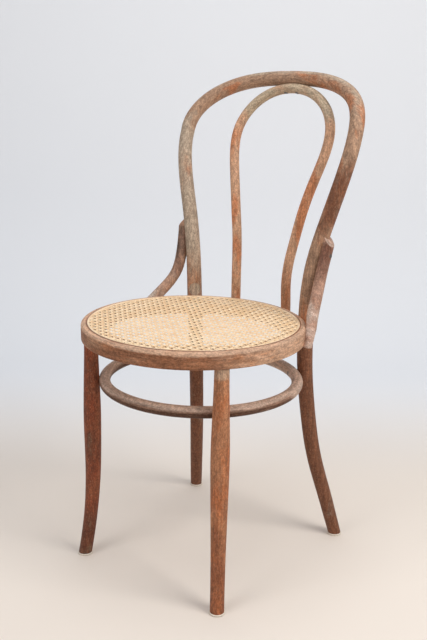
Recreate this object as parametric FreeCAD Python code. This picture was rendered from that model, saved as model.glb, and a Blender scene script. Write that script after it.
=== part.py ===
import FreeCAD, Part
import math
import os

from FreeCAD import Vector

# A bentwood bistro chair: a hoop of one bent rod that is both the back and the rear legs, a second
# hoop inside it, a round seat frame with a woven cane panel, two front legs, a stretcher ring that
# ties the four legs, and two short braces. Millimetres and degrees. The chair faces -Y, up is +Z,
# and the working frame stands under the middle of the seat. Heights are from the floor.

# Seat frame
seat_diameter = 400.0
seat_height = 462.0
ring_height = 29.0
ring_width = 36.0
rim_land = 10.5
ring_top_round = 4.5
ring_bottom_round = 2.5

# Groove, step and strip that hold the cane
groove_width = 5.6
groove_depth = 8.0
cane_thickness = 1.6
cane_lip = 0.9
cane_lip_drop = 5.5
spline_proud = 1.2
glue_gap = 0.1

# Openings of the woven panel
cane_pitch = 17.5
cane_opening = 10.6
cane_opening_corner = 3.1
cane_border = 5.0

# Back hoop with the rear legs
rear_foot_half_width = 177.4
rear_foot_back = 240.5
post_angle = 52.1
post_housing = 0.9
post_flat_above_seat = 24.0
shoulder_half_width = 187.3
shoulder_back = 210.5
shoulder_height = 780.5
hoop_top_back = 291.7
hoop_top_height = 885.4
hoop_crown_power = 2.5
hoop_crown_rake_power = 1.45
rear_foot_diameter = 24.6
post_diameter = 29.8
hoop_shoulder_diameter = 27.0
hoop_top_diameter = 27.4

# Where the rear leg bows inwards between foot and seat: share of the run, inward bow
leg_bow = ((0.19, 6.9), (0.39, 14.3), (0.585, 14.4), (0.785, 10.3))
# Where the side of the hoop leaves the straight line from seat to shoulder: share, inward, forward
side_bow = ((0.30, 10.0, 10.3), (0.56, 5.3, 10.7), (0.82, -2.7, 9.0))

# Inner hoop
inner_hoop_diameter = 18.6
inner_foot_half_width = 60.6
inner_foot_housing = 1.0
inner_hoop_turn = -2.3
inner_widest_half_width = 107.4
inner_widest_back = 248.5
inner_widest_height = 773.0
inner_top_back = 283.0
inner_top_drop = 18.8
inner_crown_power = 2.04
inner_crown_rake_power = 1.0
inner_straight_height = 66.0
# Where the inner hoop leaves the straight line to its widest point: share, inward, forward
inner_bow = ((0.19, 3.4, 2.7), (0.43, 3.9, 6.3), (0.67, 1.4, 6.4), (0.79, -1.1, 4.6), (0.91, -2.1, 2.1))

# Front legs
front_foot_half_width = 157.6
front_foot_forward = 127.1
front_leg_angle = 37.4
front_leg_inset = 2.6
front_flare_height = 200.0
front_foot_diameter = 24.6
front_swell_diameter = 32.0
front_swell_height = 277.0
front_top_diameter = 24.6
front_swell_power = 1.35
# Where the front leg is sectioned, as shares of its flare height and of its swell height
front_flare_stations = (0.2, 0.4, 0.64, 1.0)
front_swell_stations = (0.86, 1.0, 1.13, 1.27, 1.4)
tenon_diameter = 17.0
tenon_length = 17.0

# Stretcher ring
stretcher_height = 348.0
stretcher_diameter = 20.6
stretcher_housing = 1.2

# Braces from the seat frame to the hoop
brace_diameter = 21.4
brace_foot_angle = 23.0
brace_rim_angle = 30.3
brace_seat_housing = 3.0
brace_top_housing = 7.2
brace_side_housing = 3.8
brace_top_height = 601.0
brace_screw_height = 577.0
brace_top_bevel = 49.0
brace_top_bevel_rise = 3.0
brace_foot_bevel = 75.0
brace_foot_bevel_height = 24.0
brace_overrun = 24.0
brace_top_forward = 2.0
# Where the brace bows off the line between seat frame and hoop: share, inward, backward
brace_bow = ((0.20, 7.6, 12.7), (0.48, 9.9, 16.7), (0.75, 5.9, 8.8))
# Width of the blocks that cut the bevels of the braces
bevel_block = 130.0

# Fasteners and glides
screw_shank = 4.0
screw_head = 8.0
screw_head_height = 2.4
screw_clearance = 0.1
screw_head_sink = 0.4
brace_foot_screw_sink = 3.6
bolt_shank = 6.0
bolt_head_diameter = 16.0
bolt_head_height = 4.2
bolt_spot_depth = 1.5
washer_diameter = 16.0
washer_thickness = 1.5
nut_across_flats = 10.0
nut_height = 5.0
bolt_end_spare = 2.0
bolt_room_length = 108.0
stretcher_screw_length = 30.0
hoop_screw_length = 28.0
hoop_screw_spread = 13.0
foot_screw_length = 34.0
brace_screw_length = 34.0
glide_diameter = 28.0
glide_thickness = 3.5
glide_bevel = 0.9
nail_shank = 3.0
nail_length = 16.0
nail_head_diameter = 6.4
nail_head_height = 1.2
nail_recess = 0.8

# How closely the bent rods are sectioned, and how many points shape half of a hoop's crown
section_spacing = 42.0
least_sections = 6
crown_points = 4
# How often an interval is halved when a place along a rod is looked for
halvings = 50
# How closely the outline is followed when the middle of the chair's box is found
box_tolerance = 0.02

seat_radius = seat_diameter / 2
ring_inner_radius = seat_radius - ring_width
ring_bottom = seat_height - ring_height
ring_middle = seat_height - ring_height / 2
groove_outer_radius = seat_radius - rim_land
groove_inner_radius = groove_outer_radius - groove_width
foot_level = glide_thickness
rod_overrun = 12.0
far = 2000.0
side_sign = {"left": -1, "right": 1}

part_nodes = {}


def polar(radius, angle, height):
    """A point at a distance from the seat's axis, at an angle from +X."""
    turn = math.radians(angle)
    return Vector(radius * math.cos(turn), radius * math.sin(turn), height)


def mirrored(point):
    return Vector(-point.x, point.y, point.z)


def between(start, end, share, inward, forward):
    """A point on the line from start to end, moved towards the middle and the front."""
    point = start + (end - start) * share
    return point + Vector(-inward, -forward, 0)


def crown(base, top, power, rake_power):
    """Points of a superellipse from the widest point of a hoop to its top, leaning back."""
    points = []
    for step in range(1, crown_points + 1):
        turn = math.pi / 2 * step / (crown_points + 1)
        out = math.cos(turn) ** (2 / power)
        rise = math.sin(turn) ** (2 / power)
        lean = rise ** rake_power
        points.append(Vector(base.x * out,
                             base.y + (top.y - base.y) * lean,
                             base.z + (top.z - base.z) * rise))
    return points


class Rod:
    """A round rod bent along a smooth curve through stations of (point, diameter)."""

    def __init__(self, stations):
        self.points = [point for point, _ in stations]
        self.diameters = [diameter for _, diameter in stations]
        self.runs = [0.0]
        for first, second in zip(self.points, self.points[1:]):
            self.runs.append(self.runs[-1] + first.distanceToPoint(second))
        self.curve = Part.BSplineCurve()
        self.curve.interpolate(Points=self.points, Parameters=self.runs)

    def diameter(self, run):
        for index in range(len(self.runs) - 1):
            if run <= self.runs[index + 1]:
                break
        share = (run - self.runs[index]) / (self.runs[index + 1] - self.runs[index])
        return self.diameters[index] * (1 - share) + self.diameters[index + 1] * share

    def section(self, run):
        """A round wire across the rod, of three arcs that start on the same side all along it."""
        along = self.curve.tangent(run)[0]
        side = Vector(0, 1, 0).cross(along).normalize()
        other = along.cross(side)
        centre = self.curve.value(run)
        radius = self.diameter(run) / 2

        def at(turn):
            return centre + side * (radius * math.cos(turn)) + other * (radius * math.sin(turn))

        third = 2 * math.pi / 3
        arcs = [Part.Arc(at(k * third), at((k + 0.5) * third), at((k + 1) * third))
                for k in range(3)]
        return Part.Wire([arc.toShape() for arc in arcs])

    def solid(self, joints=()):
        """The rod as lofts that meet at the stations in joints."""
        ends = [0.0] + [self.runs[joint] for joint in joints] + [self.runs[-1]]
        spans = []
        for start, end in zip(ends, ends[1:]):
            count = max(least_sections, round((end - start) / section_spacing))
            runs = [start + (end - start) * step / count for step in range(count + 1)]
            spans.append(Part.makeLoft([self.section(run) for run in runs], True, False))
        if len(spans) == 1:
            return spans[0]
        return spans[0].fuse(spans[1:]).Solids[0]

    def run_at_height(self, height, low_run=0.0, high_run=None):
        """The first run at which the rod, rising from its start, reaches a height."""
        high_run = self.runs[-1] if high_run is None else high_run
        rising = self.curve.value(high_run).z > self.curve.value(low_run).z
        for _ in range(halvings):
            middle = (low_run + high_run) / 2
            if (self.curve.value(middle).z < height) == rising:
                low_run = middle
            else:
                high_run = middle
        return (low_run + high_run) / 2

    def at_height(self, height, low_run=0.0, high_run=None):
        run = self.run_at_height(height, low_run, high_run)
        return self.curve.value(run), self.diameter(run)


def screw_solid(head_centre, direction, length):
    """A countersunk wood screw, its head's face at head_centre, its point towards direction."""
    shank = screw_shank / 2
    profile = Part.makePolygon([
        Vector(0, 0, 0),
        Vector(screw_head / 2, 0, 0),
        Vector(shank, 0, screw_head_height),
        Vector(shank, 0, length - screw_shank),
        Vector(0, 0, length),
        Vector(0, 0, 0)])
    solid = Part.Face(profile).revolve(Vector(0, 0, 0), Vector(0, 0, 1), 360)
    return placed(solid, head_centre, direction)


def screw_hole(head_centre, direction, length):
    """The room of a screw with its clearance, open above the head."""
    shank = screw_shank / 2 + screw_clearance
    head = screw_head / 2 + screw_clearance
    profile = Part.makePolygon([
        Vector(0, 0, -screw_head),
        Vector(head, 0, -screw_head),
        Vector(head, 0, screw_clearance),
        Vector(shank, 0, screw_head_height + screw_clearance),
        Vector(shank, 0, length + screw_clearance),
        Vector(0, 0, length + screw_clearance),
        Vector(0, 0, -screw_head)])
    solid = Part.Face(profile).revolve(Vector(0, 0, 0), Vector(0, 0, 1), 360)
    return placed(solid, head_centre, direction)


def placed(solid, point, direction):
    """A solid made along +Z, moved so that it starts at point and runs along direction."""
    turn = FreeCAD.Rotation(Vector(0, 0, 1), direction)
    solid.Placement = FreeCAD.Placement(point, turn)
    return solid


def rod_between(point, direction, radius, length):
    return Part.makeCylinder(radius, length, point, direction)


def slab(low, high):
    """A wide block between two heights."""
    return Part.makeBox(far, far, high - low, Vector(-far / 2, -far / 2, low))


def seat_wall(low, high):
    """The round space that the seat frame's outer wall stands in."""
    return Part.makeCylinder(seat_radius, high - low, Vector(0, 0, low))


# Paths of the bent rods

def hoop_half():
    """Stations of the back hoop from its right foot to just before the top."""
    foot = Vector(rear_foot_half_width, rear_foot_back, foot_level)
    post_radius = seat_radius + post_diameter / 2 - post_housing
    post = polar(post_radius, post_angle, ring_middle)
    shoulder = Vector(shoulder_half_width, shoulder_back, shoulder_height)
    top = Vector(0, hoop_top_back, hoop_top_height)

    first_share, first_bow = leg_bow[0]
    knee = between(foot, post, first_share, first_bow, first_bow)
    below = foot + (foot - knee).normalize() * rod_overrun
    stations = [(below, rear_foot_diameter), (foot, rear_foot_diameter)]
    for share, bow in leg_bow:
        swell = math.sqrt(share) * (post_diameter - rear_foot_diameter)
        stations.append((between(foot, post, share, bow, bow), rear_foot_diameter + swell))
    stations.append((post, post_diameter))
    for share, inward, forward in side_bow:
        swell = share * (hoop_shoulder_diameter - post_diameter)
        stations.append((between(post, shoulder, share, inward, forward), post_diameter + swell))
    stations.append((shoulder, hoop_shoulder_diameter))
    for point in crown(shoulder, top, hoop_crown_power, hoop_crown_rake_power):
        stations.append((point, hoop_top_diameter))
    return stations


def inner_hoop_half():
    """Stations of the inner hoop, before it is turned, from its right foot to before the top."""
    foot_radius = seat_radius + inner_hoop_diameter / 2 - inner_foot_housing
    foot_back = math.sqrt(foot_radius ** 2 - inner_foot_half_width ** 2)
    foot = Vector(inner_foot_half_width, foot_back, ring_bottom - rod_overrun)
    rim = Vector(inner_foot_half_width, foot_back, seat_height)
    start = Vector(inner_foot_half_width, foot_back, seat_height + inner_straight_height)
    widest = Vector(inner_widest_half_width, inner_widest_back, inner_widest_height)
    top = Vector(0, inner_top_back, hoop_top_height - inner_top_drop)

    points = [foot, rim, start]
    points += [between(start, widest, *bow) for bow in inner_bow]
    points.append(widest)
    points += crown(widest, top, inner_crown_power, inner_crown_rake_power)
    return [(point, inner_hoop_diameter) for point in points]


def closed_over_top(half, top):
    """The whole hoop: one half, its top, and the half mirrored."""
    other = [(mirrored(point), diameter) for point, diameter in reversed(half)]
    return half + [top] + other


def front_leg_stations(sign):
    """Stations of a front leg, straight under the seat frame and curving out to its foot."""
    top_radius = (seat_radius + ring_inner_radius) / 2 + front_leg_inset
    top = polar(top_radius, -front_leg_angle, ring_bottom)
    foot = Vector(front_foot_half_width, -front_foot_forward, foot_level)
    heights = [-rod_overrun, foot_level]
    heights += [share * front_flare_height for share in front_flare_stations]
    heights += [share * front_swell_height for share in front_swell_stations]
    heights += [ring_bottom, ring_bottom + rod_overrun]
    flare_at_foot = (1 - foot_level / front_flare_height) ** 2
    stations = []
    for height in heights:
        share = max(0.0, 1 - height / front_flare_height) ** 2 / flare_at_foot
        point = top + (foot - top) * share
        stations.append((Vector(sign * point.x, point.y, height), front_leg_diameter(height)))
    return stations


def front_leg_diameter(height):
    """Slender at both ends, with the swell that a turned and bent leg keeps in its upper half."""
    if height < front_swell_height:
        share = max(0.0, height / front_swell_height)
        end = front_foot_diameter
    else:
        span = ring_bottom - front_swell_height
        share = max(0.0, 1 - (height - front_swell_height) / span)
        end = front_top_diameter
    share = share ** front_swell_power if height < front_swell_height else share
    smooth = share * share * (3 - 2 * share)
    return end + (front_swell_diameter - end) * smooth


def brace_stations(hoop, sign):
    """Stations of a brace, from the side of the seat frame up to the outside of the hoop."""
    radius = seat_radius + brace_diameter / 2 - brace_seat_housing
    foot = polar(radius, brace_foot_angle, ring_bottom)
    rim = polar(radius, brace_rim_angle, seat_height)
    below = foot + (foot - rim).normalize() * rod_overrun
    half_run = hoop.runs[-1] / 2
    post, post_size = hoop.at_height(brace_top_height, 0.0, half_run)
    apart = post_size / 2 + brace_diameter / 2
    top = post + Vector(apart - brace_top_housing, -brace_top_forward, 0)
    post, post_size = hoop.at_height(brace_screw_height, 0.0, half_run)
    beside = post + Vector(apart - brace_side_housing, -brace_top_forward, 0)
    above = top + (top - beside).normalize() * brace_overrun

    points = [below, foot, rim]
    points += [between(rim, beside, share, inward, -backward)
               for share, inward, backward in brace_bow]
    points += [beside, top, above]
    return [(Vector(sign * point.x, point.y, point.z), brace_diameter) for point in points]


# Seat

def ring_profile():
    """Half section of the seat frame: round outer edges, the strip's groove and the cane's step."""
    outer = seat_radius
    inner = ring_inner_radius
    top = seat_height
    step = seat_height - cane_thickness
    floor = seat_height - groove_depth
    diagonal = 1 - math.sqrt(0.5)

    def line(a, b):
        return Part.makeLine(Vector(a[0], 0, a[1]), Vector(b[0], 0, b[1]))

    def arc(a, b, c):
        points = [Vector(p[0], 0, p[1]) for p in (a, b, c)]
        return Part.Arc(*points).toShape()

    low = ring_bottom_round
    high = ring_top_round
    edges = [
        line((inner, ring_bottom), (outer - low, ring_bottom)),
        arc((outer - low, ring_bottom),
            (outer - diagonal * low, ring_bottom + diagonal * low),
            (outer, ring_bottom + low)),
        line((outer, ring_bottom + low), (outer, top - high)),
        arc((outer, top - high),
            (outer - diagonal * high, top - diagonal * high),
            (outer - high, top)),
        line((outer - high, top), (groove_outer_radius, top)),
        line((groove_outer_radius, top), (groove_outer_radius, floor)),
        line((groove_outer_radius, floor), (groove_inner_radius, floor)),
        line((groove_inner_radius, floor), (groove_inner_radius, step)),
        line((groove_inner_radius, step), (inner, step)),
        line((inner, step), (inner, ring_bottom))]
    return Part.Face(Part.Wire(edges))


def seat_ring_solid():
    return ring_profile().revolve(Vector(0, 0, 0), Vector(0, 0, 1), 360)


def cane_opening_wire(x, y, height):
    """One eight-sided opening of the weave."""
    half = cane_opening / 2
    flat = half - cane_opening_corner
    outline = [(half, -flat), (half, flat), (flat, half), (-flat, half),
               (-half, flat), (-half, -flat), (-flat, -half), (flat, -half)]
    points = [Vector(x + dx, y + dy, height) for dx, dy in outline]
    return Part.makePolygon(points + [points[0]])


def cane_panel_solid():
    """The woven panel as one sheet with its openings, and the lip that the strip holds down."""
    under = seat_height - cane_thickness
    reach = ring_inner_radius - cane_border
    steps = int(reach // cane_pitch)
    corner = math.hypot(cane_opening / 2, cane_opening / 2 - cane_opening_corner)
    openings = []
    for column in range(-steps, steps + 1):
        for row in range(-steps, steps + 1):
            x = column * cane_pitch
            y = row * cane_pitch
            if math.hypot(x, y) + corner < reach:
                openings.append(cane_opening_wire(x, y, under))
    rim = Part.Wire([Part.makeCircle(groove_inner_radius, Vector(0, 0, under))])
    face = Part.makeFace([rim] + openings, "Part::FaceMakerBullseye")
    sheet = face.extrude(Vector(0, 0, cane_thickness))
    lip_outer = groove_inner_radius + cane_lip
    lip_foot = seat_height - cane_lip_drop
    lip = Part.makeCylinder(lip_outer, cane_lip_drop, Vector(0, 0, lip_foot))
    lip = lip.cut(Part.makeCylinder(groove_inner_radius, cane_lip_drop, Vector(0, 0, lip_foot)))
    print("cane openings", len(openings))
    return sheet.fuse(lip).removeSplitter()


def cane_spline_solid():
    """The strip driven into the groove, with a rounded top."""
    inner = groove_inner_radius + cane_lip + glue_gap
    outer = groove_outer_radius - glue_gap
    middle = (inner + outer) / 2
    floor = seat_height - groove_depth
    lines = Part.makePolygon([
        Vector(inner, 0, seat_height),
        Vector(inner, 0, floor),
        Vector(outer, 0, floor),
        Vector(outer, 0, seat_height)])
    cap = Part.Arc(Vector(outer, 0, seat_height),
                   Vector(middle, 0, seat_height + spline_proud),
                   Vector(inner, 0, seat_height)).toShape()
    profile = Part.Face(Part.Wire(lines.Edges + [cap]))
    return profile.revolve(Vector(0, 0, 0), Vector(0, 0, 1), 360)


# Stretcher ring

def stretcher_circle(front, front_size, rear, rear_size):
    """The circle that is let into the inner sides of all four legs: its middle and radius."""
    def reach(point, size, middle):
        return math.hypot(point.x, point.y - middle) - size / 2

    low = front.y
    high = rear.y
    for _ in range(halvings):
        middle = (low + high) / 2
        if reach(front, front_size, middle) < reach(rear, rear_size, middle):
            low = middle
        else:
            high = middle
    radius = reach(front, front_size, middle) - stretcher_diameter / 2 + stretcher_housing
    return middle, radius


def stretcher_solid(middle, radius, grown=0.0):
    return Part.makeTorus(radius, stretcher_diameter / 2 + grown, Vector(0, middle, stretcher_height))


# Build

def cut_all(solid, tools):
    for tool in tools:
        solid = solid.cut(tool)
    return solid


def store(name, solids):
    """Keeps one node: a solid, or a list of solids that share it."""
    solids = solids if isinstance(solids, list) else [solids]
    part_nodes[name] = [part for solid in solids for part in solid.Solids]


def build():
    hoop_top = (Vector(0, hoop_top_back, hoop_top_height), hoop_top_diameter)
    hoop = Rod(closed_over_top(hoop_half(), hoop_top))
    inner_top = Vector(0, inner_top_back, hoop_top_height - inner_top_drop)
    inner = Rod(closed_over_top(inner_hoop_half(), (inner_top, inner_hoop_diameter)))
    front = {side: Rod(front_leg_stations(sign)) for side, sign in side_sign.items()}
    brace = {side: Rod(brace_stations(hoop, sign)) for side, sign in side_sign.items()}
    half_run = hoop.runs[-1] / 2

    post_station = len(leg_bow) + 2
    shoulder_station = post_station + len(side_bow) + 1
    top_station = len(hoop.points) // 2
    half_joints = [post_station + 1, shoulder_station]
    other_joints = [len(hoop.points) - 1 - joint for joint in reversed(half_joints)]
    hoop_raw = hoop.solid(half_joints + [top_station] + other_joints).common(slab(foot_level, far))
    inner_turn = FreeCAD.Placement(Vector(0, 0, 0), FreeCAD.Rotation(Vector(0, 0, 1), inner_hoop_turn))
    inner_raw = inner.solid()
    inner_raw.Placement = inner_turn
    inner_raw = inner_raw.common(slab(ring_bottom, far))
    leg_room = slab(foot_level, ring_bottom)
    leg_raw = {side: rod.solid().common(leg_room) for side, rod in front.items()}
    brace_raw = {side: rod.solid().common(slab(ring_bottom, far)) for side, rod in brace.items()}

    holes = {name: [] for name in ("hoop", "inner", "ring", "stretcher", "leg_left", "leg_right",
                                   "brace_left", "brace_right")}

    # Stretcher ring and its screws, driven from inside the ring
    front_point, front_size = front["right"].at_height(stretcher_height)
    rear_point, rear_size = hoop.at_height(stretcher_height, 0.0, half_run)
    middle, radius = stretcher_circle(front_point, front_size, rear_point, rear_size)
    print("stretcher middle and radius", round(middle, 2), round(radius, 2))
    centre = Vector(0, middle, stretcher_height)
    housing = stretcher_solid(middle, radius, glue_gap)
    stretcher_screws = []
    for point, is_front in ((front_point, True), (rear_point, False)):
        for side, sign in side_sign.items():
            leg_point = Vector(sign * abs(point.x), point.y, stretcher_height)
            outward = (leg_point - centre).normalize()
            head = centre + outward * (radius - stretcher_diameter / 2 + screw_head_sink)
            stretcher_screws.append(screw_solid(head, outward, stretcher_screw_length))
            hole = screw_hole(head, outward, stretcher_screw_length)
            holes["stretcher"].append(hole)
            holes["leg_" + side if is_front else "hoop"].append(hole)

    # Bolts through the posts and the seat frame
    bolts, washers, nuts = [], [], []
    washer_radius = washer_diameter / 2
    bearing = math.sqrt(ring_inner_radius ** 2 - washer_radius ** 2)
    post_point, post_size = hoop.at_height(ring_middle, 0.0, half_run)
    post_reach = math.hypot(post_point.x, post_point.y) + post_size / 2
    head_seat = post_reach - bolt_spot_depth
    bolt_end = bearing - washer_thickness - nut_height - bolt_end_spare
    for sign in side_sign.values():
        outward = Vector(sign * post_point.x, post_point.y, 0).normalize()
        base = Vector(0, 0, ring_middle)
        bolts.append(bolt_solid(base + outward * head_seat, -outward, head_seat - bolt_end))
        room = rod_between(base + outward * (bearing - ring_width), outward,
                           bolt_shank / 2 + screw_clearance, bolt_room_length)
        spot = rod_between(base + outward * head_seat, outward,
                           bolt_head_diameter / 2 + screw_clearance, ring_width)
        holes["hoop"] += [room, spot]
        holes["ring"].append(room)
        start = base + outward * bearing
        washer = rod_between(start, -outward, washer_radius, washer_thickness)
        washers.append(washer.cut(room))
        nut_start = start - outward * washer_thickness
        nuts.append(hexagon(nut_start, -outward).cut(room))

    # Screws from the inner hoop's crown up into the back hoop
    hoop_screws = []
    for offset in (-hoop_screw_spread, hoop_screw_spread):
        run = inner.runs[-1] / 2 + offset
        point = inner_turn.multVec(inner.curve.value(run))
        target = Vector(point.x, hoop_top_back, hoop_top_height)
        inward = (target - point).normalize()
        head = point - inward * (inner_hoop_diameter / 2 - screw_head_sink)
        hoop_screws.append(screw_solid(head, inward, hoop_screw_length))
        hole = screw_hole(head, inward, hoop_screw_length)
        holes["inner"].append(hole)
        holes["hoop"].append(hole)

    # Screws through the inner hoop's feet into the seat frame
    inner_screws = []
    for sign in side_sign.values():
        foot_radius = seat_radius + inner_hoop_diameter / 2 - inner_foot_housing
        foot_back = math.sqrt(foot_radius ** 2 - inner_foot_half_width ** 2)
        point = inner_turn.multVec(Vector(sign * inner_foot_half_width, foot_back, ring_middle))
        inward = Vector(-point.x, -point.y, 0).normalize()
        head = point - inward * (inner_hoop_diameter / 2 - screw_head_sink)
        inner_screws.append(screw_solid(head, inward, foot_screw_length))
        hole = screw_hole(head, inward, foot_screw_length)
        holes["inner"].append(hole)
        holes["ring"].append(hole)

    # Screws at both ends of the braces
    brace_hoop_screws, brace_seat_screws = [], []
    for side, sign in side_sign.items():
        rod = brace[side]
        point, _ = rod.at_height(brace_screw_height)
        post, _ = hoop.at_height(brace_screw_height, 0.0, half_run)
        inward = (Vector(sign * post.x, post.y, post.z) - point).normalize()
        head = point - inward * (brace_diameter / 2 - screw_head_sink)
        brace_hoop_screws.append(screw_solid(head, inward, brace_screw_length))
        hole = screw_hole(head, inward, brace_screw_length)
        holes["brace_" + side].append(hole)
        holes["hoop"].append(hole)

        point, _ = rod.at_height(ring_middle)
        inward = Vector(-point.x, -point.y, 0).normalize()
        head = point - inward * (brace_diameter / 2 - brace_foot_screw_sink)
        brace_seat_screws.append(screw_solid(head, inward, foot_screw_length))
        hole = screw_hole(head, inward, foot_screw_length)
        holes["brace_" + side].append(hole)
        holes["ring"].append(hole)

    # Tenons of the front legs in their sockets
    tenons = {}
    for side in side_sign:
        point, _ = front[side].at_height(ring_bottom)
        tenons[side] = Part.makeCylinder(tenon_diameter / 2, tenon_length, point)
        holes["ring"].append(Part.makeCylinder(tenon_diameter / 2 + glue_gap,
                                               tenon_length + glue_gap, point))

    # Glides and their nails
    glides, nails = {}, []
    rear_foot, _ = hoop.at_height(foot_level, 0.0, half_run)
    front_foot, _ = front["right"].at_height(foot_level)
    for end, foot in (("front", front_foot), ("rear", rear_foot)):
        for side, sign in side_sign.items():
            spot = Vector(sign * foot.x, foot.y, 0)
            glides["glide_" + end + "_" + side] = glide_solid(spot)
            nails.append(nail_solid(spot))
            room = Part.makeCylinder(nail_shank / 2 + screw_clearance,
                                     nail_recess + nail_length + screw_clearance, spot)
            holes["leg_" + side if end == "front" else "hoop"].append(room)

    # Wooden pieces, each cut where another is let into it
    post_wall = seat_wall(ring_bottom - rod_overrun, seat_height + post_flat_above_seat)
    store("back_hoop", cut_all(hoop_raw.cut(post_wall).cut(housing), holes["hoop"]))
    store("inner_hoop", cut_all(inner_raw.cut(post_wall).cut(hoop_raw), holes["inner"]))
    store("seat_ring", cut_all(seat_ring_solid(), holes["ring"]))
    store("cane_panel", cane_panel_solid())
    store("cane_spline", cane_spline_solid())
    for side in side_sign:
        leg = leg_raw[side].fuse(tenons[side]).cut(housing)
        store("front_leg_" + side, cut_all(leg, holes["leg_" + side]))
    store("stretcher_ring", cut_all(stretcher_solid(middle, radius), holes["stretcher"]))
    for side, sign in side_sign.items():
        body = brace_raw[side].cut(seat_wall(ring_bottom - brace_overrun, far))
        body = cut_all(body.cut(hoop_raw), bevel_tools(brace[side], sign))
        largest = max(body.Solids, key=lambda piece: piece.Volume)
        store("brace_" + side, cut_all(largest, holes["brace_" + side]))
    store("seat_bolts", bolts)
    store("seat_bolt_washers", washers)
    store("seat_bolt_nuts", nuts)
    store("stretcher_screws", stretcher_screws)
    store("crown_screws", hoop_screws)
    store("inner_hoop_foot_screws", inner_screws)
    store("brace_hoop_screws", brace_hoop_screws)
    store("brace_seat_screws", brace_seat_screws)
    for name, solid in glides.items():
        store(name, solid)
    store("glide_nails", nails)


def bevel_tools(rod, sign):
    """Blocks that bevel a brace's tip, on the side away from the chair, and the outside of its foot."""
    top, _ = rod.at_height(brace_top_height)
    top += Vector(0, 0, brace_top_bevel_rise)
    slope = math.radians(brace_top_bevel)
    top_normal = Vector(sign * math.sin(slope), 0, math.cos(slope))

    foot, size = rod.at_height(ring_bottom + brace_foot_bevel_height)
    away = Vector(foot.x, foot.y, 0).normalize()
    slope = math.radians(brace_foot_bevel)
    foot_normal = away * math.sin(slope) - Vector(0, 0, math.cos(slope))

    width = bevel_block
    tools = []
    for point, normal in ((top, top_normal), (foot + away * (size / 2), foot_normal)):
        block = Part.makeBox(width, width, width, Vector(-width / 2, -width / 2, 0))
        tools.append(placed(block, point, normal))
    return tools


def bolt_solid(seat, direction, length):
    """A bolt with a domed head that bears at seat, its shank running along direction."""
    head = bolt_head_diameter / 2
    shank = bolt_shank / 2
    sphere = (head ** 2 + bolt_head_height ** 2) / (2 * bolt_head_height)
    half_turn = math.asin(head / sphere) / 2
    middle = Vector(sphere * math.sin(half_turn), 0,
                    sphere - bolt_head_height - sphere * math.cos(half_turn))
    dome = Part.Arc(Vector(0, 0, -bolt_head_height), middle, Vector(head, 0, 0)).toShape()
    lines = Part.makePolygon([
        Vector(head, 0, 0),
        Vector(shank, 0, 0),
        Vector(shank, 0, length),
        Vector(0, 0, length),
        Vector(0, 0, -bolt_head_height)])
    profile = Part.Face(Part.Wire([dome] + lines.Edges))
    return placed(profile.revolve(Vector(0, 0, 0), Vector(0, 0, 1), 360), seat, direction)


def hexagon(start, direction):
    corner = nut_across_flats / math.sqrt(3)
    points = [Vector(corner * math.cos(math.radians(60 * k)),
                     corner * math.sin(math.radians(60 * k)), 0) for k in range(7)]
    solid = Part.Face(Part.makePolygon(points)).extrude(Vector(0, 0, nut_height))
    return placed(solid, start, direction)


def glide_solid(spot):
    """A round pad under a foot, with a recess for its nail's head."""
    pad = Part.makeCylinder(glide_diameter / 2, glide_thickness, spot)
    edges = [edge for edge in pad.Edges if len(edge.Vertexes) == 1]
    pad = pad.makeChamfer(glide_bevel, edges)
    recess = Part.makeCylinder(nail_head_diameter / 2 + screw_clearance,
                               nail_recess + nail_head_height, spot)
    bore = Part.makeCylinder(nail_shank / 2 + screw_clearance, glide_thickness, spot)
    return pad.cut(recess).cut(bore)


def nail_solid(spot):
    base = spot + Vector(0, 0, nail_recess)
    head = Part.makeCylinder(nail_head_diameter / 2, nail_head_height, base)
    shank = Part.makeCylinder(nail_shank / 2, nail_length, base)
    return head.fuse(shank).removeSplitter()


def main():
    build()
    everything = Part.makeCompound([solid for solids in part_nodes.values() for solid in solids])
    everything.tessellate(box_tolerance)
    box = everything.optimalBoundingBox(True, False)
    # The origin is the floor point under the middle of the whole chair's box
    shift = Vector(-(box.XMin + box.XMax) / 2, -(box.YMin + box.YMax) / 2, -box.ZMin)
    print("shift to the origin", [round(value, 3) for value in shift])
    os.makedirs("parts", exist_ok=True)
    for name, solids in part_nodes.items():
        shape = solids[0] if len(solids) == 1 else Part.makeCompound(solids)
        shape = shape.copy()
        shape.translate(shift)
        for solid in shape.Solids:
            if not solid.isValid() or solid.Volume <= 0:
                print("unsound solid in", name)
        shape.exportStep("parts/" + name + ".step")
        print(name, len(shape.Solids), "volume", round(shape.Volume))
    print("box", round(box.XLength, 1), round(box.YLength, 1), round(box.ZLength, 1))


main()
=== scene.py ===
"""Looks of a bentwood bistro chair with a woven cane seat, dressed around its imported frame."""

import math
import random

import bpy
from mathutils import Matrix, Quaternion, Vector


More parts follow.
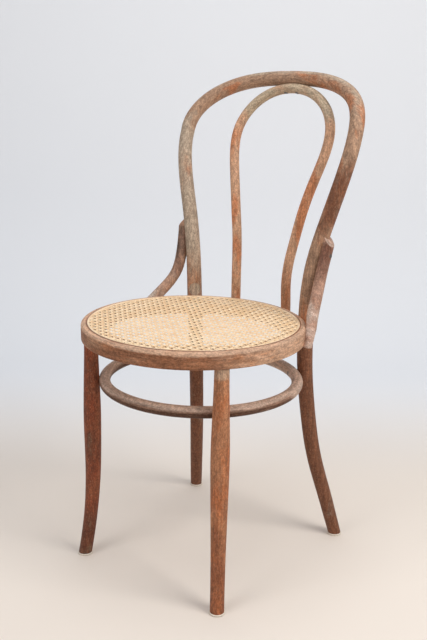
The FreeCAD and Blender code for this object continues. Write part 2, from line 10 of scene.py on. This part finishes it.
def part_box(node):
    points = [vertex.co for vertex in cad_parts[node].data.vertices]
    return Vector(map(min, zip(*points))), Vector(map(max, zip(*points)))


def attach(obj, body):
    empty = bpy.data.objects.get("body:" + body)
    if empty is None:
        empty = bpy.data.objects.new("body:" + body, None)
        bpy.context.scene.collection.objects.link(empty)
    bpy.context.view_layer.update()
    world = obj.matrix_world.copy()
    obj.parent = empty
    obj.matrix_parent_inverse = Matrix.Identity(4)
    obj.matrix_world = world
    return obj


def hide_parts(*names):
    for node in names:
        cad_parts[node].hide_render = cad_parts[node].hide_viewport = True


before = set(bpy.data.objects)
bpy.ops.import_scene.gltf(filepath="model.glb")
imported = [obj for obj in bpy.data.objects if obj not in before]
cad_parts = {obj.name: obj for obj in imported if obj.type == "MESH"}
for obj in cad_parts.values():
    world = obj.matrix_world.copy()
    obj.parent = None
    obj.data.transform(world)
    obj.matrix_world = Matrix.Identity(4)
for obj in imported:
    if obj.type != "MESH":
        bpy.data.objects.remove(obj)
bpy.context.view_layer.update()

# Camera: where the photograph was taken from, in metres in the row frame
camera_place = Vector((0.911, -1.2076, 0.8528))
camera_target = Vector((0.0404, -0.0481, 0.4689))
camera_roll = math.radians(1.02)
camera_lens = 47.91
camera_sensor = 36.0

# Sizes read from the frame
seat_low, seat_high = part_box("seat_ring")
spline_low, spline_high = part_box("cane_spline")
hoop_low, hoop_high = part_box("back_hoop")
inner_low, inner_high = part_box("inner_hoop")
stretcher_low, stretcher_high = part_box("stretcher_ring")
panel_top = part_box("cane_panel")[1].z
leg_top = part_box("front_leg_right")[1].z
brace_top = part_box("brace_right")[1].z
seat_centre = (seat_low + seat_high) / 2
stretcher_centre = (stretcher_low + stretcher_high) / 2
seat_radius = (seat_high.x - seat_low.x) / 2
spline_radius = (spline_high.x - spline_low.x) / 2
stretcher_radius = (stretcher_high.x - stretcher_low.x) / 2
inner_crown_radius = (inner_high.x - inner_low.x) / 2

# The back hoop's crown bends a little tighter than half its width
crown_tightness = 0.92
hoop_crown_radius = (hoop_high.x - hoop_low.x) / 2 * crown_tightness

# Where the left post is worn bare around a filled screw hole, just above the seat
bare_patch = Vector((-0.1228, 0.1053, 0.4735))
bare_patch_radius = 0.009
bare_patch_blur = 0.006
screw_hole_radius = 0.0012
screw_hole_blur = 0.001

# Heights between which the back hoop's posts are darkened or greyed: start, full, fade, end
dark_upper_post = (0.58, 0.64, 0.70, 0.78)
dark_lower_post = (0.42, 0.46, 0.58, 0.64)
grey_left_post = (0.45, 0.58, 0.76, 0.86)

# Woven cane: a pair of strands each way in every mesh, and one diagonal each way
mesh_pitch = 0.0131
pair_gap = 0.0018
strand_width = 0.0030
diagonal_width = 0.0030
strand_thickness = 0.0009
strand_rise = 0.75 * strand_thickness
diagonal_rise = 1.5 * strand_rise
strand_section = ((-0.5, 0.0), (-0.34, 0.42), (0.0, 0.56), (0.34, 0.42), (0.5, 0.0), (0.0, -0.42))
steps_per_mesh = 8
panel_sag = 0.003
panel_middle_depth = 1.1 * strand_thickness
panel_inset = 0.001
short_strand_margin = 0.004
shade_seed = 7

# Floor and backdrop, measured along the camera's view from the chair
stage_front = -3.0
stage_back = 1.6
stage_height = 3.5
stage_bend = 0.5
stage_bend_steps = 12
stage_half_width = 4.0
floor_colour = (232, 222, 212)
backdrop_colour = (235, 237, 241)
floor_end = 0.2
backdrop_start = 1.1

# Light: the air around the chair, which reaches it from all sides
air_colour = (0.95, 0.97, 1.0, 1.0)
air_strength = 0.36


def display(red, green, blue):
    """A colour as it shows on screen, 0 to 255, as the linear value that a shader takes."""
    def linear(value):
        share = value / 255
        return share / 12.92 if share <= 0.04045 else ((share + 0.055) / 1.055) ** 2.4

    return (linear(red), linear(green), linear(blue), 1.0)


class Shader:
    """One material's node tree, with a short call for each kind of node."""

    def __init__(self, name):
        self.material = bpy.data.materials.new(name)
        self.material.use_nodes = True
        self.tree = self.material.node_tree
        self.surface = self.tree.nodes["Principled BSDF"]
        self.place = self.node("ShaderNodeTexCoord").outputs["Object"]

    def node(self, kind, **settings):
        made = self.tree.nodes.new(kind)
        for name, value in settings.items():
            setattr(made, name, value)
        return made

    def feed(self, socket, value):
        if isinstance(value, bpy.types.NodeSocket):
            self.tree.links.new(value, socket)
        else:
            socket.default_value = value

    def maths(self, operation, *values):
        made = self.node("ShaderNodeMath", operation=operation)
        for socket, value in zip(made.inputs, values):
            self.feed(socket, value)
        return made.outputs[0]

    def times(self, first, second):
        return self.maths("MULTIPLY", first, second)

    def minus(self, first, second):
        return self.maths("SUBTRACT", first, second)

    def largest(self, first, *others):
        for other in others:
            first = self.maths("MAXIMUM", first, other)
        return first

    def distance(self, first, second):
        """How far two numbers reach together, at right angles."""
        return self.maths("SQRT", self.maths("ADD", self.times(first, first), self.times(second, second)))

    def split(self, vector):
        made = self.node("ShaderNodeSeparateXYZ")
        self.feed(made.inputs[0], vector)
        return made.outputs[0], made.outputs[1], made.outputs[2]

    def join(self, x, y, z):
        made = self.node("ShaderNodeCombineXYZ")
        for socket, value in zip(made.inputs, (x, y, z)):
            self.feed(socket, value)
        return made.outputs[0]

    def upward(self):
        """How far the surface faces up, -1 to 1."""
        normal = self.node("ShaderNodeTexCoord").outputs["Normal"]
        return self.split(normal)[2]

    def stretch(self, vector, factors, shift=(0.0, 0.0, 0.0)):
        made = self.node("ShaderNodeVectorMath", operation="MULTIPLY_ADD")
        self.feed(made.inputs[0], vector)
        self.feed(made.inputs[1], factors)
        self.feed(made.inputs[2], shift)
        return made.outputs[0]

    def noise(self, vector, scale, detail=3.0, roughness=0.55):
        made = self.node("ShaderNodeTexNoise")
        self.feed(made.inputs["Vector"], vector)
        self.feed(made.inputs["Scale"], scale)
        self.feed(made.inputs["Detail"], detail)
        self.feed(made.inputs["Roughness"], roughness)
        return made.outputs["Fac"]

    def smooth(self, value, low, high, to_low=0.0, to_high=1.0):
        made = self.node("ShaderNodeMapRange", interpolation_type="SMOOTHSTEP")
        for name, number in (("Value", value), ("From Min", low), ("From Max", high),
                             ("To Min", to_low), ("To Max", to_high)):
            self.feed(made.inputs[name], number)
        return made.outputs["Result"]

    def tone(self, noise, spread, low, high):
        """A noise as a number from low to high, full at a spread to both sides of its middle."""
        return self.smooth(noise, 0.5 - spread, 0.5 + spread, low, high)

    def band(self, value, start, full, fade, end):
        """One between full and fade, falling off to nothing at start and end."""
        rising = self.smooth(value, start, full)
        falling = self.smooth(value, fade, end, 1.0, 0.0)
        return self.times(rising, falling)

    def spot(self, centre, radius, blur):
        """One inside a ball around a point, falling off over blur."""
        offset = self.node("ShaderNodeVectorMath", operation="DISTANCE")
        self.feed(offset.inputs[0], self.place)
        self.feed(offset.inputs[1], centre)
        return self.smooth(offset.outputs["Value"], radius, radius + blur, 1.0, 0.0)

    def ragged(self, share, noise, spread):
        """A share broken up by a noise, so that it ends in an uneven edge."""
        shifted = self.maths("MULTIPLY_ADD", self.minus(noise, 0.5), spread, share)
        return self.tone(shifted, 0.32, 0.0, 1.0)

    def mix(self, share, first, second, blend="MIX"):
        made = self.node("ShaderNodeMix", data_type="RGBA", blend_type=blend)
        self.feed(made.inputs[0], share)
        self.feed(made.inputs[6], first)
        self.feed(made.inputs[7], second)
        return made.outputs[2]

    def shaded(self, colour, light):
        """A colour made lighter or darker by a number."""
        return self.mix(1.0, colour, self.join(light, light, light), "MULTIPLY")

    def attribute(self, name):
        made = self.node("ShaderNodeAttribute", attribute_name=name)
        return made.outputs["Fac"]

    def bump(self, height, distance, strength):
        made = self.node("ShaderNodeBump")
        self.feed(made.inputs["Height"], height)
        self.feed(made.inputs["Distance"], distance)
        self.feed(made.inputs["Strength"], strength)
        self.feed(self.surface.inputs["Normal"], made.outputs[0])

    def finish(self, colour, roughness, specular=None):
        self.feed(self.surface.inputs["Base Color"], colour)
        self.feed(self.surface.inputs["Roughness"], roughness)
        if specular is not None:
            self.surface.inputs["Specular IOR Level"].default_value = specular
        return self.material

    def clear_from_behind(self):
        """Lets the view through where the surface is seen from its back."""
        one_sided = self.node("ShaderNodeMixShader")
        self.feed(one_sided.inputs[0], self.node("ShaderNodeNewGeometry").outputs["Backfacing"])
        self.feed(one_sided.inputs[1], self.surface.outputs[0])
        self.feed(one_sided.inputs[2], self.node("ShaderNodeBsdfTransparent").outputs[0])
        self.feed(self.tree.nodes["Material Output"].inputs["Surface"], one_sided.outputs[0])


# Wood grain: places measured across and along each bent rod, with the last number along it

def upright_grain(shader):
    """Grain of a rod that stands: along it is the height."""
    return shader.place


def hoop_grain(shader, top, bend_radius):
    """Grain of a hoop: up the right post, over the crown and down the left one."""
    x, y, z = shader.split(shader.place)
    height = shader.minus(z, top - bend_radius)
    above = shader.maths("MAXIMUM", height, 0.0)
    below = shader.maths("MINIMUM", height, 0.0)
    angle = shader.maths("ARCTAN2", above, x)
    side = shader.maths("SIGN", x)
    along = shader.maths("MULTIPLY_ADD", angle, bend_radius, shader.times(side, below))
    return shader.join(shader.distance(x, above), y, along)


def ring_grain(shader, centre, radius):
    """Grain of a ring that lies flat: along it is the way round, which starts and ends at the back."""
    x, y, z = shader.split(shader.place)
    right = shader.minus(x, centre.x)
    forward = shader.minus(centre.y, y)
    along = shader.times(shader.maths("ARCTAN2", right, forward), radius)
    return shader.join(shader.distance(right, forward), z, along)


def back_hoop_grain(shader):
    return hoop_grain(shader, hoop_high.z, hoop_crown_radius)


def inner_hoop_grain(shader):
    return hoop_grain(shader, inner_high.z, inner_crown_radius)


def seat_ring_grain(shader):
    return ring_grain(shader, seat_centre, seat_radius)


def stretcher_grain(shader):
    return ring_grain(shader, stretcher_centre, stretcher_radius)


# Where old stain is left or the wood has greyed, with painted light and shade on some pieces, piece by
# piece: shares of dark and of pale

def back_hoop_wear_and_painted_light(shader):
    """Dark legs, the left one deeper in painted shade, a dark right post, a greyed left post, a painted
    highlight with greying where the hoop faces up, and a patch worn bare around a hole.
    """
    x, _, z = shader.split(shader.place)
    right_side = shader.smooth(x, -0.02, 0.05)
    left_side = shader.smooth(x, 0.0, -0.08)
    # Painted shade: the legs are stained dark, and the left one is painted darker still, as it stands in
    # shade.
    painted_shade_to_the_left = shader.smooth(x, 0.0, -0.08, 1.0, 1.7)
    legs = shader.times(shader.smooth(z, seat_low.z - 0.004, seat_low.z - 0.022), painted_shade_to_the_left)
    upper_post = shader.times(right_side, shader.band(z, *dark_upper_post))
    lower_post = shader.times(right_side, shader.band(z, *dark_lower_post))
    hole = shader.spot(bare_patch, screw_hole_radius, screw_hole_blur)
    dark = shader.largest(legs, shader.times(upper_post, 0.66), shader.times(lower_post, 0.22),
                          shader.times(hole, 3.0))

    left_post = shader.times(left_side, shader.band(z, *grey_left_post))
    # Painted highlight together with greying: the hoop turns paler where it faces up, mostly along the
    # crown's top.
    crown_top_grey_and_highlight = shader.smooth(shader.upward(), 0.35, 0.95)
    patch = shader.spot(bare_patch, bare_patch_radius, bare_patch_blur)
    pale = shader.largest(shader.times(left_post, 0.8), shader.times(crown_top_grey_and_highlight, 0.6),
                          shader.times(patch, 1.3))
    return dark, pale


def inner_hoop_wear(shader):
    """Greyed along the top and darker at the right foot."""
    x, _, z = shader.split(shader.place)
    right_foot = shader.times(shader.smooth(x, 0.0, 0.04), shader.smooth(z, 0.64, 0.50))
    return shader.times(right_foot, 0.45), shader.smooth(z, 0.78, 0.85, 0.0, 0.75)


def seat_ring_wear_and_painted_light(shader):
    """Painted shade low on the ring's outer face, stronger at the front, against a painted highlight on the
    rounded upper edge; paler towards both sides; a painted shadow along the groove's edge.
    """
    x, y, z = shader.split(shader.place)
    height = shader.minus(z, seat_low.z)
    # Painted shade low on the ring's outer face, stronger at the front.
    shaded_wall = shader.smooth(height, 0.0275, 0.0215)
    front = shader.smooth(y, seat_centre.y - 0.05, seat_centre.y - 0.16)
    reach = shader.split(seat_ring_grain(shader))[0]
    # Painted shadow: a dark line on the ring at the edge of the groove that holds the reed.
    groove_edge_shadow = shader.smooth(reach, spline_radius + 0.0022, spline_radius + 0.0008, 0.0, 1.4)
    dark = shader.largest(shader.times(shaded_wall, shader.maths("MULTIPLY_ADD", front, 0.35, 0.35)), groove_edge_shadow)

    sides = shader.smooth(shader.maths("ABSOLUTE", x), 0.12, 0.20)
    # Painted highlight on the rounded upper edge of the ring.
    lit_shoulder = shader.smooth(height, 0.020, 0.026)
    pale = shader.largest(shader.times(sides, 0.55), shader.times(lit_shoulder, 0.7))
    return dark, shader.times(pale, shader.minus(1.0, groove_edge_shadow))


def left_leg_wear(shader):
    """Red-brown throughout, dull and darker at the foot."""
    z = shader.split(shader.place)[2]
    return shader.smooth(z, 0.10, 0.02, 0.45, 0.9), shader.smooth(z, 0.05, 0.0, 0.0, 0.3)


def right_leg_wear(shader):
    """Bare and pale just under the seat, darker down to the foot."""
    z = shader.split(shader.place)[2]
    pale = shader.smooth(z, leg_top - 0.045, leg_top - 0.030, 0.0, 0.8)
    return shader.smooth(z, 0.26, 0.02, 0.12, 0.75), pale


def stretcher_wear_and_painted_light(shader):
    """Painted light from above: paler on top, and browner and darker below in painted shade; paler towards
    the back as well.
    """
    # Painted highlight on the upward faces and painted shade on the underside.
    up = shader.upward()
    y = shader.split(shader.place)[1]
    behind = shader.smooth(y, stretcher_centre.y - 0.02, stretcher_centre.y + 0.06, 0.0, 1.3)
    pale = shader.largest(shader.smooth(up, 0.0, 0.7, 0.1, 0.85), behind)
    return shader.smooth(up, 0.35, -0.35, 0.1, 1.0), pale


def brace_wear(shader):
    """Bare and pale at both cut ends, brown below the tip."""
    z = shader.split(shader.place)[2]
    tip = shader.times(shader.smooth(shader.upward(), 0.45, 0.60),
                       shader.smooth(z, brace_top - 0.032, brace_top - 0.022))
    foot = shader.smooth(z, seat_high.z + 0.09, seat_high.z - 0.02, 0.0, 0.62)
    below_tip = shader.band(z, 0.50, 0.56, brace_top - 0.018, brace_top)
    dark = shader.largest(shader.times(below_tip, 0.65), shader.times(tip, 0.4))
    return dark, shader.largest(shader.times(tip, 0.5), foot)


# Finishes

pore_colour = (70, 40, 26)
filler_colour = (206, 172, 144)


def worn_beech(name, grain_of, wear_and_light_of, bare, stain, dark, grey, stained=0.5, shift=0.0):
    """Beech with most of its finish gone: bare wood with patches of orange stain, dark old finish and
    painted shade where the dark share says so, greyed wood and painted highlights where the pale share says
    so, with streaks, short flecks and open pores along the grain.
    The shift gives each piece its own part of every noise."""
    shader = Shader(name)
    grain = grain_of(shader)
    dark_share, pale_share = wear_and_light_of(shader)

    def layer(scale, along, detail, roughness, offset):
        """A noise of a scale per metre, drawn out along the grain where along is under one."""
        return shader.noise(shader.stretch(grain, (1.0, 1.0, along), offset), scale, detail, roughness)

    patches = layer(26.0, along=0.35, detail=4.0, roughness=0.62, offset=(shift, shift, shift))
    weather = layer(34.0, along=0.35, detail=5.0, roughness=0.68,
                    offset=(shift + 3.1, shift + 1.7, shift + 0.4))
    streaks = layer(240.0, along=0.07, detail=3.0, roughness=0.6, offset=(shift, 0.0, shift))
    fibres = layer(1300.0, along=0.04, detail=2.0, roughness=0.5, offset=(0.0, shift, shift))
    flecks = layer(480.0, along=0.6, detail=3.0, roughness=0.65, offset=(shift, shift, 0.0))
    mottle = layer(190.0, along=0.6, detail=2.0, roughness=0.5, offset=(shift, shift, 0.0))
    pores = layer(900.0, along=0.28, detail=1.0, roughness=0.5, offset=(shift, shift, shift))

    stain_edge = 0.60 - 0.24 * stained
    stain_share = shader.smooth(patches, stain_edge, stain_edge + 0.14)
    colour = shader.mix(stain_share, display(*bare), display(*stain))
    # The dark colour holds old finish and, on some pieces, painted shade; the grey holds greying and
    # painted highlights.
    colour = shader.mix(shader.ragged(dark_share, weather, 1.7), colour, display(*dark))
    grey_share = shader.times(shader.ragged(pale_share, weather, 2.2), 0.85)
    colour = shader.mix(grey_share, colour, display(*grey))

    light = shader.tone(streaks, 0.22, 0.78, 1.22)
    light = shader.times(light, shader.tone(fibres, 0.25, 0.92, 1.08))
    light = shader.times(light, shader.tone(flecks, 0.17, 0.74, 1.26))
    light = shader.times(light, shader.tone(mottle, 0.14, 0.87, 1.14))
    colour = shader.shaded(colour, light)
    open_pores = shader.smooth(pores, 0.60, 0.74, 0.0, 0.34)
    filled_pores = shader.smooth(pores, 0.42, 0.30, 0.0, 0.16)
    colour = shader.mix(open_pores, colour, display(*pore_colour))
    colour = shader.mix(filled_pores, colour, display(*filler_colour))

    relief = shader.maths("MULTIPLY_ADD", flecks, 0.5, shader.times(streaks, 0.5))
    relief = shader.minus(relief, shader.times(open_pores, 0.5))
    shader.bump(relief, distance=0.0006, strength=0.6)
    roughness = shader.smooth(patches, 0.3, 0.7, 0.68, 0.52)
    return shader.finish(colour, roughness, specular=0.3)


wood_finishes = {
    "back_hoop": worn_beech(
        "hoop_beech", back_hoop_grain, back_hoop_wear_and_painted_light,
        bare=(160, 127, 103), stain=(168, 110, 76), dark=(114, 71, 48), grey=(170, 153, 134)),
    "inner_hoop": worn_beech(
        "inner_beech", inner_hoop_grain, inner_hoop_wear,
        bare=(191, 148, 118), stain=(188, 124, 86), dark=(144, 96, 69), grey=(178, 162, 138),
        stained=0.55, shift=0.31),
    "seat_ring": worn_beech(
        "seat_beech", seat_ring_grain, seat_ring_wear_and_painted_light,
        bare=(176, 134, 104), stain=(172, 114, 76), dark=(136, 88, 60), grey=(196, 160, 134),
        shift=0.57),
    "front_leg_left": worn_beech(
        "left_leg_beech", upright_grain, left_leg_wear,
        bare=(140, 78, 50), stain=(134, 66, 38), dark=(102, 56, 36), grey=(124, 110, 86),
        stained=0.7, shift=0.83),
    "front_leg_right": worn_beech(
        "right_leg_beech", upright_grain, right_leg_wear,
        bare=(166, 112, 78), stain=(162, 96, 58), dark=(132, 76, 48), grey=(186, 156, 130),
        stained=0.55, shift=1.21),
    "stretcher_ring": worn_beech(
        "stretcher_beech", stretcher_grain, stretcher_wear_and_painted_light,
        bare=(130, 98, 80), stain=(112, 78, 58), dark=(80, 48, 30), grey=(192, 163, 144),
        stained=0.3, shift=1.57),
    "brace_left": worn_beech(
        "left_brace_beech", upright_grain, brace_wear,
        bare=(164, 128, 106), stain=(132, 98, 80), dark=(90, 68, 56), grey=(182, 166, 152),
        stained=0.4, shift=1.93),
    "brace_right": worn_beech(
        "right_brace_beech", upright_grain, brace_wear,
        bare=(166, 129, 110), stain=(148, 106, 84), dark=(108, 68, 52), grey=(192, 172, 158),
        stained=0.4, shift=2.31),
}


def cane_finish():
    """Split rattan: a satin skin with fine lines along each strand, each strand its own shade."""
    shader = Shader("cane")
    across = shader.attribute("across")
    along = shader.attribute("along")
    shade = shader.attribute("shade")
    line_space = shader.join(shader.times(across, 2.2), shader.times(along, 0.9), shader.times(shade, 37.0))
    lines = shader.noise(line_space, 3.0, detail=3.0, roughness=0.6)
    patches = shader.noise(shader.place, 55.0, detail=3.0, roughness=0.5)
    darkness = shader.maths("MULTIPLY_ADD", shade, 0.75, shader.times(patches, 0.5))
    light = display(254, 230, 196)
    dark = display(242, 204, 156)
    colour = shader.mix(shader.smooth(darkness, 0.15, 1.05), light, dark)
    colour = shader.shaded(colour, shader.tone(lines, 0.25, 0.90, 1.06))
    shader.bump(lines, distance=0.0001, strength=0.4)
    return shader.finish(colour, shader.tone(lines, 0.3, 0.34, 0.5))


def spline_finish():
    """The reed in the groove: cream, with fine marks along it and a painted shadow along its outer side,
    where it meets the groove.
    """
    shader = Shader("reed")
    grain = ring_grain(shader, seat_centre, spline_radius)
    reach = shader.split(grain)[0]
    fibres = shader.noise(shader.stretch(grain, (1, 1, 0.05)), 1200.0, detail=3.0, roughness=0.6)
    patches = shader.noise(shader.stretch(grain, (1, 1, 0.4)), 60.0, detail=3.0, roughness=0.6)
    cream = display(242, 214, 180)
    straw = display(228, 192, 150)
    reed_shadow_brown = display(96, 60, 38)
    colour = shader.mix(shader.smooth(patches, 0.35, 0.7), cream, straw)
    colour = shader.shaded(colour, shader.tone(fibres, 0.2, 0.90, 1.05))
    # Painted shadow: a dark line along the reed's outer side, where it sits against the groove.
    reed_groove_shadow = shader.smooth(reach, spline_radius - 0.0013, spline_radius - 0.0003, 0.0, 0.9)
    colour = shader.mix(reed_groove_shadow, colour, reed_shadow_brown)
    shader.bump(fibres, distance=0.0002, strength=0.5)
    return shader.finish(colour, 0.5)


def steel_finish():
    """Old screws and bolts: dark dull steel with brown spots."""
    shader = Shader("old_steel")
    spots = shader.noise(shader.place, 900.0, detail=4.0, roughness=0.7)
    scratches = shader.noise(shader.stretch(shader.place, (1, 8, 1)), 1500.0, detail=2.0, roughness=0.5)
    steel = display(112, 106, 100)
    rust = display(78, 50, 34)
    colour = shader.mix(shader.smooth(spots, 0.5, 0.68), steel, rust)
    shader.bump(spots, distance=0.0001, strength=0.5)
    shader.feed(shader.surface.inputs["Metallic"], shader.smooth(spots, 0.5, 0.68, 0.9, 0.1))
    return shader.finish(colour, shader.tone(scratches, 0.2, 0.38, 0.6))


def glide_finish():
    """Off-white plastic glide, a little dirty towards the floor."""
    shader = Shader("glide_plastic")
    height = shader.split(shader.place)[2]
    marks = shader.noise(shader.place, 500.0, detail=4.0, roughness=0.65)
    dirt = shader.times(shader.smooth(height, 0.004, 0.0), shader.smooth(marks, 0.35, 0.65))
    off_white = display(226, 216, 202)
    dirty = display(160, 144, 126)
    colour = shader.mix(dirt, off_white, dirty)
    shader.bump(marks, distance=0.0001, strength=0.4)
    return shader.finish(colour, shader.tone(marks, 0.2, 0.36, 0.55))


def dress_frame():
    steel = steel_finish()
    glide = glide_finish()
    for name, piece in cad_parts.items():
        if name in wood_finishes:
            finish = wood_finishes[name]
        elif name == "cane_spline":
            finish = spline_finish()
        elif name.startswith("glide_") and name != "glide_nails":
            finish = glide
        else:
            finish = steel
        piece.data.materials.clear()
        piece.data.materials.append(finish)


# Cane panel: six sets of strands, woven

class Weave:
    """Collects flat strands into one mesh, with numbers along and across each for its finish."""

    def __init__(self):
        self.points = []
        self.faces = []
        self.along = []
        self.across = []
        self.shade = []

    def strand(self, path, width, shade):
        """A strip with a domed top along a path of points, closed all round."""
        first = len(self.points)
        count = len(path)
        sides = len(strand_section)
        distance = 0.0
        for index, here in enumerate(path):
            before = path[max(index - 1, 0)]
            after = path[min(index + 1, count - 1)]
            forward = (after - before).normalized()
            sideways = Vector((-forward.y, forward.x, 0.0)).normalized()
            upward = forward.cross(sideways)
            if index:
                distance += (here - before).length
            for across, up in strand_section:
                self.points.append(here + sideways * (across * width) + upward * (up * strand_thickness))
                self.along.append(distance / mesh_pitch)
                self.across.append(across)
                self.shade.append(shade)
        for ring in range(count - 1):
            for side in range(sides):
                corner = first + ring * sides
                turn = (side + 1) % sides
                beyond = corner + sides
                self.faces.append((corner + side, corner + turn, beyond + turn, beyond + side))
        last = first + (count - 1) * sides
        self.faces.append(tuple(first + side for side in range(sides)))
        self.faces.append(tuple(last + side for side in reversed(range(sides))))

    def build(self, name, finish):
        mesh = bpy.data.meshes.new(name)
        mesh.from_pydata([tuple(point) for point in self.points], [], self.faces)
        for title, values in (("along", self.along), ("across", self.across), ("shade", self.shade)):
            layer = mesh.attributes.new(title, "FLOAT", "POINT")
            layer.data.foreach_set("value", values)
        mesh.polygons.foreach_set("use_smooth", [True] * len(mesh.polygons))
        mesh.materials.append(finish)
        mesh.update()
        made = bpy.data.objects.new(name, mesh)
        bpy.context.scene.collection.objects.link(made)
        return made


def panel_height(radius, edge):
    """Height of the panel's middle layer: a slight sag in the middle of the seat."""
    share = min(radius / edge, 1.0)
    return panel_top - panel_middle_depth - panel_sag * (1 - share * share) ** 2


def strand_path(start, direction, edge, lift):
    """Points of a strand across the round seat, where lift gives its rise over and under the others."""
    reach = math.sqrt(max(edge * edge - start.length_squared, 0.0))
    steps = max(int(2 * reach / (mesh_pitch / steps_per_mesh)), 2)
    path = []
    for step in range(steps + 1):
        distance = -reach + 2 * reach * step / steps
        flat = start + direction * distance
        height = panel_height(flat.length, edge) + lift(flat)
        path.append(Vector((seat_centre.x + flat.x, seat_centre.y + flat.y, height)))
    return path


def weave_panel():
    """The panel in place of its plain solid: pairs along and across, then both diagonals."""
    edge = spline_radius - panel_inset
    rows = int(edge / mesh_pitch) + 1
    half_mesh = mesh_pitch / 2
    turn = 2 * math.pi / mesh_pitch
    shades = random.Random(shade_seed)
    weave = Weave()

    for row in range(-rows, rows + 1):
        for side in (-1, 1):
            place = (row + 0.5) * mesh_pitch + side * pair_gap
            if abs(place) > edge - short_strand_margin:
                continue

            def lift_along(flat):
                return side * strand_rise * math.sin(turn * (flat.y - half_mesh))

            def lift_across(flat):
                return -side * strand_rise * math.sin(turn * (flat.x - half_mesh))

            along = strand_path(Vector((place, 0.0, 0.0)), Vector((0.0, 1.0, 0.0)), edge, lift_along)
            weave.strand(along, strand_width, shades.random())
            across = strand_path(Vector((0.0, place, 0.0)), Vector((1.0, 0.0, 0.0)), edge, lift_across)
            weave.strand(across, strand_width, shades.random())

    for row in range(-2 * rows, 2 * rows + 1):
        offset = (row + 0.5) * mesh_pitch / math.sqrt(2)
        if abs(offset) > edge - short_strand_margin:
            continue
        for slope in (-1, 1):
            def lift_slanting(flat):
                return slope * diagonal_rise * math.cos(turn * flat.x)

            direction = Vector((1.0, slope, 0.0)).normalized()
            start = Vector((-direction.y, direction.x, 0.0)) * offset
            slanting = strand_path(start, direction, edge, lift_slanting)
            weave.strand(slanting, diagonal_width, shades.random())

    panel = weave.build("woven_cane", cane_finish())
    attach(panel, "root")
    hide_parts("cane_panel")


# Floor, backdrop, light and camera

def stage_paint(away):
    """Plain paint: warm and pale on the floor, turning to a cool pale grey towards the backdrop."""
    shader = Shader("studio_paint")
    x, y, z = shader.split(shader.place)
    depth = shader.maths("MULTIPLY_ADD", x, away.x, shader.times(y, away.y))
    share = shader.smooth(shader.maths("ADD", depth, z), floor_end, backdrop_start)
    colour = shader.mix(share, display(*floor_colour), display(*backdrop_colour))
    shader.clear_from_behind()
    return shader.finish(colour, 0.9, specular=0.1)


def make_stage():
    """A floor that curves up into a backdrop behind the chair, square to the camera's view."""
    away = camera_target - camera_place
    away.z = 0.0
    away.normalize()
    sideways = Vector((away.y, -away.x, 0.0))
    outline = [(stage_front, 0.0), (stage_back - stage_bend, 0.0)]
    for step in range(1, stage_bend_steps + 1):
        angle = math.pi / 2 * step / stage_bend_steps
        outline.append((stage_back - stage_bend + stage_bend * math.sin(angle),
                        stage_bend - stage_bend * math.cos(angle)))
    outline.append((stage_back, stage_height))
    points = []
    for distance, up in outline:
        for side in (-stage_half_width, stage_half_width):
            point = away * distance + sideways * side
            points.append((point.x, point.y, up))
    faces = [(i, i + 1, i + 3, i + 2) for i in range(0, len(points) - 2, 2)]
    mesh = bpy.data.meshes.new("studio_sweep")
    mesh.from_pydata(points, [], faces)
    mesh.polygons.foreach_set("use_smooth", [True] * len(faces))
    mesh.materials.append(stage_paint(away))
    sweep = bpy.data.objects.new("studio_sweep", mesh)
    bpy.context.scene.collection.objects.link(sweep)


def area_light(name, place, target, size, power, colour):
    data = bpy.data.lights.new(name, "AREA")
    data.shape = "DISK"
    data.size = size
    data.energy = power
    data.color = colour
    lamp = bpy.data.objects.new(name, data)
    lamp.location = place
    lamp.rotation_mode = "QUATERNION"
    lamp.rotation_quaternion = (Vector(target) - Vector(place)).to_track_quat("-Z", "Y")
    bpy.context.scene.collection.objects.link(lamp)


def make_lights():
    """Soft even air, a key from the right, a weaker fill from the front and one lamp above."""
    world = bpy.data.worlds.new("studio_air")
    world.use_nodes = True
    air = world.node_tree.nodes["Background"]
    air.inputs["Color"].default_value = air_colour
    air.inputs["Strength"].default_value = air_strength
    bpy.context.scene.world = world
    area_light("key", place=(2.0, 0.1, 1.9), target=(0, 0, 0.5), size=1.4, power=37.0,
               colour=(1.0, 0.98, 0.95))
    area_light("fill", place=(-0.4, -2.2, 1.7), target=(0, 0, 0.5), size=1.4, power=15.0,
               colour=(0.97, 0.98, 1.0))
    area_light("top", place=(0.1, -0.3, 2.7), target=(0, 0, 0.4), size=1.6, power=18.0,
               colour=(1.0, 1.0, 1.0))


def make_camera():
    data = bpy.data.cameras.new("camera")
    data.lens = camera_lens
    data.sensor_width = camera_sensor
    data.sensor_fit = "AUTO"
    camera = bpy.data.objects.new("camera", data)
    camera.location = camera_place
    camera.rotation_mode = "QUATERNION"
    look = (camera_target - camera_place).to_track_quat("-Z", "Y")
    camera.rotation_quaternion = look @ Quaternion((0.0, 0.0, 1.0), camera_roll)
    bpy.context.scene.collection.objects.link(camera)
    bpy.context.scene.camera = camera


dress_frame()
weave_panel()
make_stage()
make_lights()
make_camera()
bpy.context.scene.view_settings.view_transform = "Standard"
